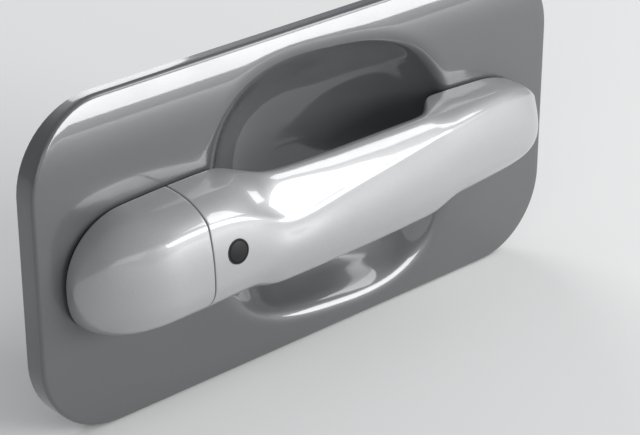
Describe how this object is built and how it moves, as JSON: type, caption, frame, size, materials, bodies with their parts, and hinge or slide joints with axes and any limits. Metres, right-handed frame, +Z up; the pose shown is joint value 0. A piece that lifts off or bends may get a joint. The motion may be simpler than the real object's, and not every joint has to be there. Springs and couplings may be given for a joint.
{
  "type": "car door handle",
  "caption": "Strap-type car door pull handle in silver-grey paint with a round request button, a fixed end cap and a finger recess panel.",
  "frame": {"origin": "midpoint between the carrier's two fixing holes, half way through their sleeves", "axes": "+X along the handle towards the front of the car, +Y into the door, +Z up"},
  "size_m": [0.268, 0.0883, 0.136],
  "materials": {
    "paint_silver": "satin silver-grey paint",
    "paint_graphite": "dark grey body paint",
    "black_plastic": "fine grained",
    "filled_nylon": "glass-filled, moulded",
    "soft_rubber": "matt",
    "button_rubber": "satin",
    "zinc_cast": "tumbled zinc casting",
    "steel": "zinc plated",
    "spring_steel": "drawn wire",
    "acetal": "smooth",
    "ferrite": "fired, matt",
    "copper": "enamelled copper wire",
    "board": "solder mask",
    "chip": "moulded",
    "brass": "machined",
    "lead_jacket": "smooth"
  },
  "bodies": {
    "base": {"recess_panel": "paint_graphite", "carrier": "filled_nylon", "rear_gasket": "soft_rubber", "front_gasket": "soft_rubber", "weld_studs": "steel", "flange_nuts": "steel", "ear_sleeves": "steel", "harness_grommet": "soft_rubber", "stop_pad": "soft_rubber", "end_cap": "paint_silver", "cap_core": "black_plastic", "cap_screw": "steel", "pivot_pin": "steel", "bellcrank_pin": "steel", "pin_clip": "spring_steel", "return_spring": "spring_steel"},
    "lever": {"lever_shell": "paint_silver", "lever_liner": "black_plastic", "pull_arm": "zinc_cast", "hinge_arm": "zinc_cast", "hinge_bushes": "acetal", "lever_screws": "steel", "antenna_cradle": "black_plastic", "antenna_core": "ferrite", "antenna_coil": "copper", "sensor_board": "board", "board_chips": "chip", "lever_lead": "lead_jacket", "lever_socket": "black_plastic", "socket_pins": "brass", "button_bezel": "soft_rubber", "switch_housing": "black_plastic", "switch_cap": "black_plastic", "switch_dome": "spring_steel"},
    "button": {"request_button": "button_rubber"},
    "crank": {"bellcrank": "filled_nylon", "counterweight": "zinc_cast", "hook_pin": "steel", "hook_roller": "acetal", "rod_clip": "acetal"}
  },
  "joints": [
    {"name": "lever_swing", "type": "hinge", "parent": "base", "child": "lever", "pos_m": [0.105, -0.006, 0], "axis": [0, 0, 1], "range_deg": [0, 9], "stiffness_Nm_per_rad": 0.6, "springref_deg": -20.05},
    {"name": "bellcrank_turn", "type": "hinge", "parent": "base", "child": "crank", "pos_m": [-0.085, 0.016, -0.027], "axis": [1, 0, 0], "range_deg": [0, 54]},
    {"name": "button_press", "type": "slide", "parent": "lever", "child": "button", "axis": [0, 0.9903, -0.1392], "range_m": [0, 0.0008], "stiffness_N_per_m": 600, "springref_m": -0.001}
  ],
  "couplings": [
    {"joint": "bellcrank_turn", "follows": "lever_swing", "ratio": 6}
  ]
}
